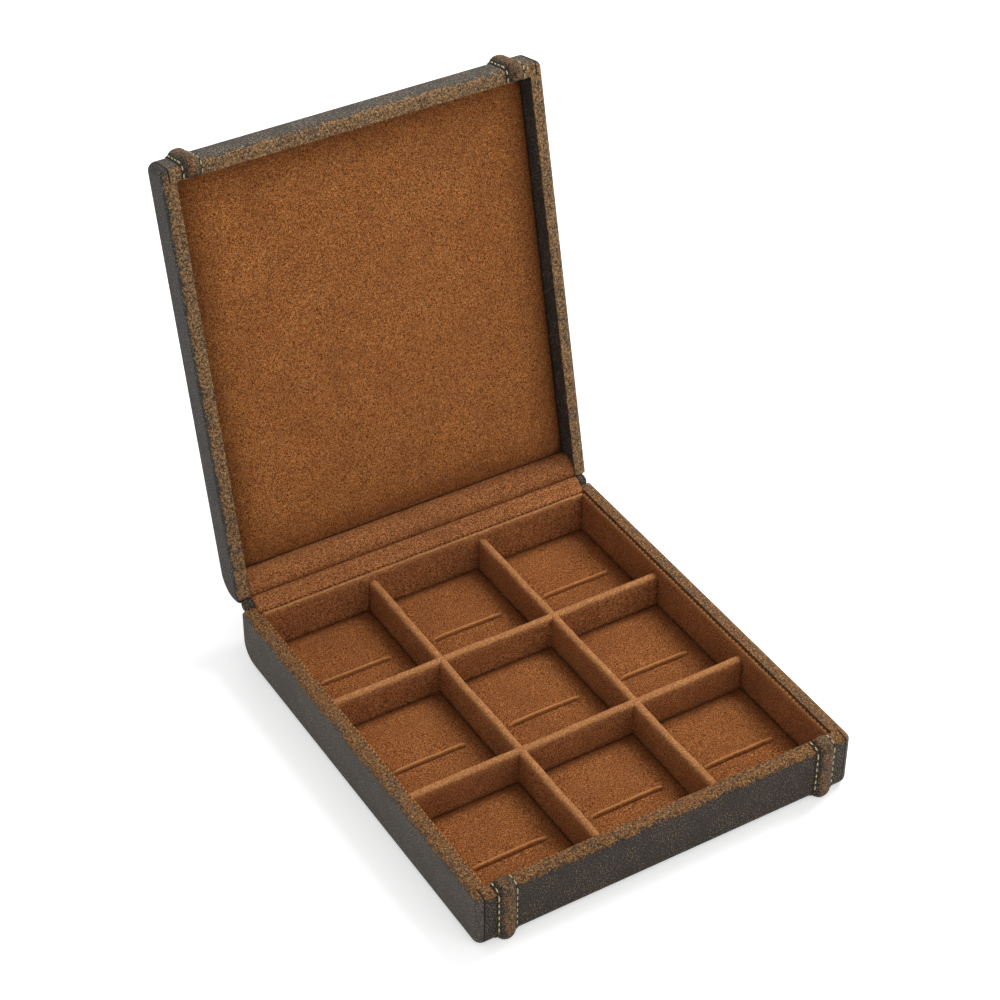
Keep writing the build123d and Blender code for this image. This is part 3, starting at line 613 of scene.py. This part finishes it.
def lid_pad():
    """The padded suede panel in the lid, tucked in all round."""
    middle, half_u = (LID_PAD_FROM + LID_PAD_TO) / 2, (LID_PAD_TO - LID_PAD_FROM) / 2

    def fullness(x, y, reach):
        return pillow(LID_PAD_HALF - abs(x), reach) * pillow(half_u - abs(y), reach)

    def height(x, y):
        full = fullness(x, y, LID_PAD_FALL)
        top = LID_PAD_EDGE + (LID_PAD_CROWN - LID_PAD_EDGE) * full
        return top + ripple((x, y, 0), *LID_PAD_WAVE) * full + ripple((x, y, 0), *LID_PAD_PUCKER)

    def nap(x, y):
        # Painted shade, deepening towards the pad's edges.
        return 0.0, 1 - fullness(x, y, LID_PAD_PAINTED_SHADE_REACH)

    piece = padded_panel(
        "lid_pad_suede", LID_PAD_HALF, half_u, LID_PAD_CORNER,
        steps(-LID_PAD_HALF, LID_PAD_HALF, LID_PAD_GRID), steps(-half_u, half_u, LID_PAD_GRID),
        height, nap, lambda x, y, h: lid_point(x, middle + y, LID_CARD_V - h), SUEDE_LID)
    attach(piece, "lid")
    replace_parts(piece, "lid_pad")


# ------------------------------------------------------------------ dividers and tray walls
BAR_STEP = 1.5              # along a bar
BAR_SIDE_STEP = 2.0         # up its sides
BAR_TOP_STEP = 0.3          # radians round its top
BAR_WAVE = (7.0, 0.22)      # length and height of the unevenness of its top
BAR_PUCKER = (5.0, 0.07)    # length and share by which its thickness varies
BAR_BOW = 28.0              # length of the bends it leans in
PAINTED_HIGHLIGHT_FROM = 2.0          # its painted highlight starts this far below its top
PAINTED_HIGHLIGHT_TO = 0.4
DIVIDER_TOP_R = 1.5
DIVIDER_WANDER = 0.5        # how far a divider leans to and fro
TRAY_TOP_R = 0.55


def covered_bar(node, along, top_r, seed, wander):
    """A suede-covered board on edge, soft, with a painted highlight along its top."""
    low, high = node_box(node)
    across = 1 - along
    half = (high[across] - low[across]) / 2
    middle = (high[across] + low[across]) / 2
    shoulder = high.z - top_r
    outline = [(-half, z) for z in steps(low.z, shoulder, BAR_SIDE_STEP)]
    outline += [(-half + top_r - top_r * cos(a), shoulder + top_r * sin(a))
                for a in steps(0, pi / 2, BAR_TOP_STEP)[1:]]
    outline += [(-w, z) for w, z in reversed(outline[:-1])]
    rings, painted_highlight = [], []
    for s in steps(low[along], high[along], BAR_STEP):
        ring = []
        for w, z in outline:
            # Painted highlight, rising towards the top.
            painted_highlight.append(ramp(z, high.z - PAINTED_HIGHLIGHT_FROM, high.z - PAINTED_HIGHLIGHT_TO))
            lift = (z - low.z) / (high.z - low.z)
            point = [0.0, 0.0, z + lift ** 4 * ripple((s, 0, 0), *BAR_WAVE, seed)]
            point[along] = s
            point[across] = middle + w * (1 + ripple((s, w, z), *BAR_PUCKER, seed))
            point[across] += lift * ripple((s, 0, 0), BAR_BOW, wander, seed + 7)
            ring.append(Vector(point))
        rings.append(ring)
    piece = tube(node + "_suede", rings, SUEDE_FLAT)
    store(piece, "painted_highlight", painted_highlight)
    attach(piece, "base")
    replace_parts(piece, node)


def dividers_and_walls():
    """The suede-covered boards that make the nine cells."""
    for seed, nodes, along, top_r, wander in (
            (0, ("divider_left", "divider_right"), 1, DIVIDER_TOP_R, DIVIDER_WANDER),
            (10, ("cross_divider_front", "cross_divider_back"), 0, DIVIDER_TOP_R, DIVIDER_WANDER),
            (20, ("tray_left_wall", "tray_right_wall"), 1, TRAY_TOP_R, 0.0),
            (30, ("tray_front_wall", "tray_back_wall"), 0, TRAY_TOP_R, 0.0)):
        for i, node in enumerate(nodes):
            covered_bar(node, along, top_r, seed + i, wander)


# ------------------------------------------------------------------ suede and leather over the hinge
BEAD_R = 2.4                # outside of the roll round the hinge
KNUCKLE_CLEAR = 1.62        # inside of it, clear of the hinge's knuckles
TRAY_LINE = 5.15            # the strip starts this far in front of the hinge, behind the tray's wall
STRIP_X = 69.7
STRIP_STEP = 1.6
STRIP_WAVE = 6.0
STRIP_SEED = 4.0
SPINE_X = 72.4
SPINE_TAIL_Z = 16.4         # the spine's leather is glued down to here
SPINE_THICK = 0.95
SPINE_RUBBED = 0.4
ROLL_FROM = 69.85           # the solid ends of the roll, from the middle of the case
ROLL_TO = 73.6
ROLL_STEP = 0.35
ROLL_TIP = 0.05
ROLL_PUCKER = (1.0, 0.04)   # length and share by which its radius varies
ROLL_PUCKER_TURN = 40       # degrees of turn that count as a millimetre
ROLL_RUBBED = 0.45


def rub(piece, value):
    """Rubs a whole leather piece back towards tan, by the same amount all over."""
    store(piece, "rubbed", [value] * len(piece.data.vertices))


def on_roll(degrees_up, radius):
    """A point on the roll round the hinge axis: 0 is the back, 90 is up."""
    a = radians(degrees_up)
    return Vector((HINGE.y + radius * cos(a), HINGE.z + radius * sin(a)))


def by_rim(y, z):
    """A point as (y, z), from the hinge axis and from the height of the base's rim."""
    return Vector((HINGE.y + y, BASE_RIM + z))


def on_lid(u, v):
    """A point of the lid as (y, z)."""
    point = lid_point(0, u, v)
    return Vector((point.y, point.z))


def strip_along_x(name, face, back, half_width, material, amount):
    """A soft strip of constant section across the case, its face slightly uneven."""
    rings = []
    for x in steps(-half_width, half_width, STRIP_STEP):
        ring = []
        for i, point in enumerate(face):
            before, after = face[max(i - 1, 0)], face[min(i + 1, len(face) - 1)]
            along = (after - before).normalized()
            normal = Vector((-along.y, along.x))
            shift = normal * ripple((x, point.x, point.y), STRIP_WAVE, amount, STRIP_SEED)
            ring.append(Vector((x, point.x + shift.x, point.y + shift.y)))
        ring += [Vector((x, p.x, p.y)) for p in reversed(back)]
        rings.append(ring)
    return tube(name, rings, material)


def hinge_suede():
    """One strip of suede from the tray, over the rolled hinge and up to the lid's pad."""
    rim = smooth_line([by_rim(-TRAY_LINE, -1.15), by_rim(-4.4, -0.1), by_rim(-3.3, 0.35),
                       on_roll(150, BEAD_R)], 5)
    roll = [on_roll(a, BEAD_R) for a in steps(146, 44, 6)]
    crease = on_lid(2.0, 1.75)
    band = smooth_line([crease, on_lid(2.6, 1.05), on_lid(4.2, 0.6), on_lid(6.4, 1.0), on_lid(8.6, 2.5),
                        on_lid(10.1, 5.2), on_lid(10.3, 8.3)], 5)
    face = rim + roll + band
    under_rim = [by_rim(-TRAY_LINE, -2.0), by_rim(-3.0, -0.9)]
    under_roll = [on_roll(a, KNUCKLE_CLEAR) for a in steps(160, 34, 12)]
    under_band = [on_lid(4.0, 2.2), on_lid(7.0, 2.6), on_lid(9.0, 4.2), on_lid(9.5, 8.3)]
    back = under_rim + under_roll + under_band
    strip = strip_along_x("hinge_suede_strip", face, back, STRIP_X, SUEDE_FLAT, amount=0.16)
    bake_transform(strip)
    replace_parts(strip, "base_hinge_lining", "lid_hinge_lining")


def hinge_spine():
    """The leather that rolls round the hinge outside."""
    face = [Vector((HINGE.y, z)) for z in steps(SPINE_TAIL_Z, HINGE.z - 3.2, 0.8)]
    face += smooth_line([Vector((HINGE.y, HINGE.z - 3.0)), Vector((HINGE.y + 0.35, HINGE.z - 2.5)),
                         on_roll(-66, BEAD_R)], 4)
    face += [on_roll(a, BEAD_R) for a in steps(-60, 2, 6)]
    back = [Vector((HINGE.y - SPINE_THICK, z)) for z in (SPINE_TAIL_Z, HINGE.z - 2.2)]
    back += [on_roll(a, KNUCKLE_CLEAR) for a in steps(-90, 2, 12)]
    spine = strip_along_x("hinge_spine_leather_strip", face, back, SPINE_X, WELT_LEATHER, amount=-0.1)
    rub(spine, SPINE_RUBBED)
    Vector((0, *on_roll(-13, BEAD_R))) * MM
    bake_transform(spine)
    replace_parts(spine, "hinge_spine_leather")


def hinge_roll_ends():
    """The solid ends of the leather roll, rounded off at the sides of the case."""
    for side, x0, x1 in (("left", -ROLL_TO, -ROLL_FROM), ("right", ROLL_FROM, ROLL_TO)):
        rings = []
        for x in steps(x0, x1, ROLL_STEP):
            radius = BEAD_R * soft_profile(ROLL_TO - abs(x) + ROLL_TIP, 1.0)
            ring = []
            for a in range(0, 360, 15):
                pucker = ripple((x, a / ROLL_PUCKER_TURN, 0), *ROLL_PUCKER)
                ring.append(Vector((x, *on_roll(a, radius * (1 + pucker)))))
            rings.append(ring)
        roll_end = tube(f"hinge_roll_end_{side}", rings, WELT_LEATHER)
        rub(roll_end, ROLL_RUBBED)
        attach(roll_end, "base")


# ------------------------------------------------------------------ thread
WELT_STITCH = {"Pitch": 2.4, "Thread length": 1.7, "Thread width": 0.55}
SEAM_STITCH = {"Pitch": 2.0, "Thread length": 1.3, "Thread width": 0.55}
STITCH_SLANT = 0.12         # most that a stitch leans, in radians
STITCH_SEED = 11
SEAM_OVER = 0.05            # middle of the tray's thread over its walls' tops
SEAM_END = 1.0              # it stops this short of the corners
SEAM_BACK_Y = 5.03          # its back row, in front of the hinge and below the base's rim
SEAM_BACK_DROP = 0.77
SEAM_BACK_END = 0.5


def stitch_tree(sizes, thread):
    """Geometry nodes that lay one stitch after another along a line."""
    tree = bpy.data.node_groups.new("stitches_along_a_line", "GeometryNodeTree")
    tree.interface.new_socket("Line", in_out="INPUT", socket_type="NodeSocketGeometry")
    named = [(name, "NodeSocketFloat", size * MM) for name, size in sizes.items()]
    named += [("Slant", "NodeSocketFloat", STITCH_SLANT), ("Seed", "NodeSocketInt", STITCH_SEED)]
    for name, kind, value in named:
        socket = tree.interface.new_socket(name, in_out="INPUT", socket_type=kind)
        socket.default_value = value
    tree.interface.new_socket("Stitches", in_out="OUTPUT", socket_type="NodeSocketGeometry")
    given = add_node(tree, "NodeGroupInput").outputs
    spots = add_node(tree, "GeometryNodeCurveToPoints", {"mode": "LENGTH"},
                     {"Curve": given["Line"], "Length": given["Pitch"]})
    unit_bead = add_node(tree, "GeometryNodeMeshUVSphere", inputs={
        "Segments": 8, "Rings": 7, "Radius": 0.5})
    turned = add_node(tree, "FunctionNodeAlignRotationToVector", {"axis": "Z"},
                      {"Vector": spots.outputs["Tangent"]})
    chance = add_node(tree, "FunctionNodeRandomValue", {"data_type": "FLOAT"},
                      {3: given["Slant"], "Seed": given["Seed"]})
    slant = add_node(tree, "ShaderNodeCombineXYZ", inputs={"X": chance.outputs[1], "Y": chance.outputs[1]})
    tilted = add_node(tree, "FunctionNodeRotateRotation", {"rotation_space": "LOCAL"},
                      {"Rotation": turned.outputs[0], "Rotate By": slant.outputs[0]})
    size = add_node(tree, "ShaderNodeCombineXYZ", inputs={
        "X": given["Thread width"], "Y": given["Thread width"], "Z": given["Thread length"]})
    laid = add_node(tree, "GeometryNodeInstanceOnPoints", inputs={
        "Points": spots.outputs["Points"], "Instance": unit_bead.outputs["Mesh"],
        "Rotation": tilted.outputs[0], "Scale": size.outputs[0]})
    real = add_node(tree, "GeometryNodeRealizeInstances", inputs={"Geometry": laid.outputs[0]})
    smooth = add_node(tree, "GeometryNodeSetShadeSmooth", inputs={"Geometry": real.outputs[0]})
    dyed = add_node(tree, "GeometryNodeSetMaterial", inputs={
        "Geometry": smooth.outputs[0], "Material": thread})
    add_node(tree, "NodeGroupOutput", inputs={"Stitches": dyed.outputs[0]})
    return tree


def thread_rows(name, lines, body, sizes, thread):
    """Rows of stitches along lines of points, as one plain mesh."""
    curve = bpy.data.curves.new(name + "_lines", "CURVE")
    curve.dimensions = "3D"
    for line in lines:
        spline = curve.splines.new("POLY")
        spline.points.add(len(line) - 1)
        for spot, point in zip(spline.points, line):
            spot.co = (*(point * MM), 1)
    carrier = bpy.data.objects.new(name + "_lines", curve)
    bpy.context.scene.collection.objects.link(carrier)
    modifier = carrier.modifiers.new("stitches", "NODES")
    modifier.node_group = stitch_tree(sizes, thread)
    bpy.context.view_layer.update()
    evaluated = carrier.evaluated_get(bpy.context.evaluated_depsgraph_get())
    mesh = bpy.data.meshes.new_from_object(evaluated)
    carrier.modifiers.clear()
    bpy.data.objects.remove(carrier)
    mesh.name = name
    piece = bpy.data.objects.new(name, mesh)
    bpy.context.scene.collection.objects.link(piece)
    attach(piece, body)
    return piece


def tray_seams():
    """The brown thread that holds the suede along the top of each tray wall."""
    left, right = node_box("tray_left_wall"), node_box("tray_right_wall")
    front = node_box("tray_front_wall")
    x0, x1 = (left[0].x + left[1].x) / 2, (right[0].x + right[1].x) / 2
    y0, y1 = (front[0].y + front[1].y) / 2, HINGE.y - SEAM_BACK_Y
    top, back_top = left[1].z + SEAM_OVER, BASE_RIM - SEAM_BACK_DROP
    lines = [[Vector((x, y0 + SEAM_END, top)), Vector((x, y1 - SEAM_END, top))] for x in (x0, x1)]
    lines += [[Vector((x0 + end, y, z)), Vector((x1 - end, y, z))]
              for y, z, end in ((y0, top, SEAM_END), (y1, back_top, SEAM_BACK_END))]
    thread_rows("tray_seam_thread", lines, "base", SEAM_STITCH, SEAM_THREAD)


# ------------------------------------------------------------------ welts
WELT_X = 63.6               # middle of each welt, from the middle of the case
WELT_HALF = 3.9
WELT_STEP = 0.26            # across a welt
WELT_PATH_STEP = 0.9        # along it
WELT_SINK = 0.4             # its underside below the leather it lies on
WELT_UNDER_Z = 0.1          # the leather that the base's welts turn in under
WELT_BACK_V = 3.3           # where the lid's welts end at its back
THREAD_UNDER = 3.0          # the base's thread stops this far short of its underside
THREAD_BACK = 1.5           # and the lid's this far from the welts' back ends
SQUARE_ENOUGH = 0.02
WELT_PUCKER = (2.6, 0.12)   # length and height of the leather's unevenness
BULGE_HALF = 3.05
BULGE_H = 2.3
BULGE_END = 4.0             # the bulge falls over this length at the welt's ends
BULGE_END_SHARE = 0.55      # to this share of its height
FLANGE = 0.45               # thickness of the sewn edges
GROOVE = 0.22               # depth that the thread pulls in
GROOVE_BROAD = 0.28
RUBBED_FROM = 0.7           # the welt is rubbed back from this height
RUBBED_TO = 2.0
RUBBED_LEAST = 0.22
RUBBED_MORE = 0.73
RUBBED_UNDER = 0.2
STITCH_ROW = 3.45           # from the middle of the welt
STITCH_LIFT = 0.02          # middle of the thread over the sewn edge
STITCH_START = 0.8
TUCK = 4.7                  # length of a welt's short end, on the rim and under the base


def welt_height(w):
    """Height of a welt over the leather, w from its middle."""
    bulge = BULGE_H * sqrt(max(0.0, 1 - (w / BULGE_HALF) ** 2))
    return max(bulge, FLANGE - GROOVE * bell(abs(w) - STITCH_ROW, GROOVE_BROAD))


def face_start(normals):
    """Index of the first point past the rim's rounded edge, where a welt's path has reached the face."""
    return next(i for i, normal in enumerate(normals) if abs(normal.y) < SQUARE_ENOUGH)


def press_flat(piece, out_of_rim, at):
    """Gives a soft piece on a rim a mesh of its own, and does not flatten it; the point given is not used."""
    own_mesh(piece)
    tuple(out_of_rim)


def welt(side, x, path, normals, place, body, out_of_rim):
    """A cord covered in leather and sewn down both sides, over the edge of the case.

    Its short end on the rim is a piece of its own.
    """
    rings, rubbed = [], []
    for point, normal in zip(path, normals):
        ring, wear = [], []
        from_end = min((point - path[0]).length, (point - path[-1]).length)
        swell = BULGE_END_SHARE + (1 - BULGE_END_SHARE) * soft_profile(from_end, BULGE_END)
        for w in steps(-WELT_HALF, WELT_HALF, WELT_STEP):
            h = welt_height(w)
            if h > FLANGE:
                h = FLANGE + (h - FLANGE) * swell
            h += ripple((w + x, point.x, point.y), *WELT_PUCKER)
            ring.append(place(x + w, *(point + normal * h)))
            wear.append(RUBBED_LEAST + RUBBED_MORE * ramp(h, RUBBED_FROM, RUBBED_TO))
        ring += [place(x + w, *(point - normal * WELT_SINK)) for w in (WELT_HALF, -WELT_HALF)]
        rings.append(ring)
        rubbed.append(wear + [RUBBED_UNDER, RUBBED_UNDER])
    face = face_start(normals)
    for part, first, last in (("rim_welt", 0, face + 1), ("welt", face, len(path))):
        piece = tube(f"{body}_{side}_{part}", rings[first:last], WELT_LEATHER)
        store(piece, "rubbed", [value for wear in rubbed[first:last] for value in wear])
        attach(piece, body)
        if part == "welt":
            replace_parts(piece, f"{body}_{side}_strap")
        else:
            press_flat(piece, out_of_rim, place(0, *path[face]))


def stitch_lines(path, normals, x, place, skip_start, skip_end):
    """The lines of stitches on both sides of a welt: those on the rim, and those past its edge."""
    total = sum((b - a).length for a, b in zip(path, path[1:]))
    face = face_start(normals)
    on_rim, past_rim = [], []
    for row in (-STITCH_ROW, STITCH_ROW):
        rim_line, face_line = [], []
        length = 0.0
        for i, (point, normal) in enumerate(zip(path, normals)):
            length += (point - path[max(i - 1, 0)]).length
            if skip_start <= length <= total - skip_end:
                spot = place(x + row, *(point + normal * (FLANGE + STITCH_LIFT)))
                (rim_line if i < face else face_line).append(spot)
        on_rim.append(rim_line)
        past_rim.append(face_line)
    return on_rim, past_rim


def welts():
    """Both welts on the base and both on the lid, with their thread."""
    front = -CASE_D / 2
    base_corners = ((front + TUCK, BASE_RIM), (front, BASE_RIM), (front, WELT_UNDER_Z),
                    (front + TUCK, WELT_UNDER_Z))
    lid_corners = ((CASE_D - TUCK, RIM_GAP), (CASE_D, RIM_GAP), (CASE_D, LID_H), (0, LID_H),
                   (0, WELT_BACK_V))
    for body, corners, radii, place, out_of_rim, skip_end in (
            ("base", base_corners, (RIM_R, FRONT_R), base_point, Vector((0, 0, 1)), TUCK + THREAD_UNDER),
            ("lid", lid_corners, (RIM_R, FRONT_R, LID_BACK_R), lid_point, -LID_V, THREAD_BACK)):
        path, normals = rounded_path(corners, radii, WELT_PATH_STEP)
        rim_lines, face_lines = [], []
        for side, x in (("left", -WELT_X), ("right", WELT_X)):
            welt(side, x, path, normals, place, body, out_of_rim)
            on_rim, past_rim = stitch_lines(path, normals, x, place, STITCH_START, skip_end)
            rim_lines += on_rim
            face_lines += past_rim
        rim_thread = thread_rows(f"{body}_rim_thread", rim_lines, body, WELT_STITCH, THREAD)
        press_flat(rim_thread, out_of_rim, place(0, *path[face_start(normals)]))
        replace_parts(thread_rows(f"{body}_thread", face_lines, body, WELT_STITCH, THREAD), f"{body}_stitches")


# ------------------------------------------------------------------ camera, floor and light
CAMERA_AT = (-0.372018, -0.582002, 0.642968)
CAMERA_RIGHT = (0.8549323, -0.5187188, 0.0046424)
CAMERA_UP = (0.3179572, 0.5310740, 0.7854067)
CAMERA_BACK = (-0.4098707, -0.6699935, 0.6189627)
CAMERA_LENS = 94.64
CAMERA_SENSOR = 36
CAMERA_REACH = 50

FLOOR_REACH = 6.0
FLOOR_GLOW = 0.46           # brings the paper to white where it is seen, without lighting the case
ROOM_LIGHT = 0.6            # what the white room gives the case
LAMPS = (                   # name, place, size, power
    ("soft_box_right", (0.55, 0.2, 0.75), 0.45, 5.5),
    ("soft_box_front", (0.35, -1.1, 0.55), 0.8, 2.5),
)
LAMPS_AIM = Vector((0, 0.02, 0.05))


def camera():
    """The photograph's view."""
    data = bpy.data.cameras.new("camera")
    data.sensor_width = CAMERA_SENSOR
    data.lens = CAMERA_LENS
    data.clip_end = CAMERA_REACH
    eye = bpy.data.objects.new("camera", data)
    turn = Matrix((CAMERA_RIGHT, CAMERA_UP, CAMERA_BACK)).transposed()
    eye.matrix_world = Matrix.Translation(CAMERA_AT) @ turn.to_4x4()
    bpy.context.scene.collection.objects.link(eye)
    bpy.context.scene.camera = eye


def seen_directly(tree):
    """1 where the ray comes from the eye, a reflection or through glass."""
    path = add_node(tree, "ShaderNodeLightPath").outputs
    return added_up(tree, [(path[ray], 1.0)
                           for ray in ("Is Camera Ray", "Is Glossy Ray", "Is Transmission Ray")])


def floor():
    """A flat sheet of white paper that keeps a soft shadow."""
    mesh = bpy.data.meshes.new("paper_floor")
    mesh.from_pydata([(x * FLOOR_REACH, y * FLOOR_REACH, 0) for x, y in ((-1, -1), (1, -1), (1, 1), (-1, 1))],
                     [], [(0, 1, 2, 3)])
    paper = bpy.data.objects.new("paper_floor", mesh)
    bpy.context.scene.collection.objects.link(paper)
    material, tree, shader, _ = new_material("white_paper", {
        "Base Color": "#f4f4f4", "Roughness": 0.9, "Specular IOR Level": 0.0, "Emission Color": "#ffffff"})
    tree.links.new(added_up(tree, ((seen_directly(tree), FLOOR_GLOW),)), shader.inputs["Emission Strength"])
    mesh.materials.append(material)


def lamp(name, place, size, power):
    """A square soft box aimed at the case."""
    data = bpy.data.lights.new(name, "AREA")
    data.shape = "SQUARE"
    data.size = size
    data.energy = power
    light = bpy.data.objects.new(name, data)
    turn = (LAMPS_AIM - Vector(place)).to_track_quat("-Z", "Y").to_matrix()
    light.matrix_world = Matrix.Translation(place) @ turn.to_4x4()
    bpy.context.scene.collection.objects.link(light)


def studio():
    """Plain soft studio light from the right and the front, in a white room."""
    world = bpy.data.worlds.new("white_room")
    bpy.context.scene.world = world
    world.use_nodes = True
    tree = world.node_tree
    tree.nodes.clear()
    strength = add_node(tree, "ShaderNodeMapRange", inputs={
        "Value": seen_directly(tree), "To Min": ROOM_LIGHT, "To Max": 1.0}).outputs["Result"]
    backdrop = add_node(tree, "ShaderNodeBackground", inputs={"Color": "#ffffff", "Strength": strength})
    add_node(tree, "ShaderNodeOutputWorld", inputs={"Surface": backdrop.outputs[0]})
    for settings in LAMPS:
        lamp(*settings)


# ------------------------------------------------------------------ the case
bpy.context.scene.view_settings.view_transform = "Standard"
dress_solids()
slotted_pads()
lid_pad()
dividers_and_walls()
hinge_suede()
hinge_spine()
hinge_roll_ends()
welts()
tray_seams()
camera()
floor()
studio()
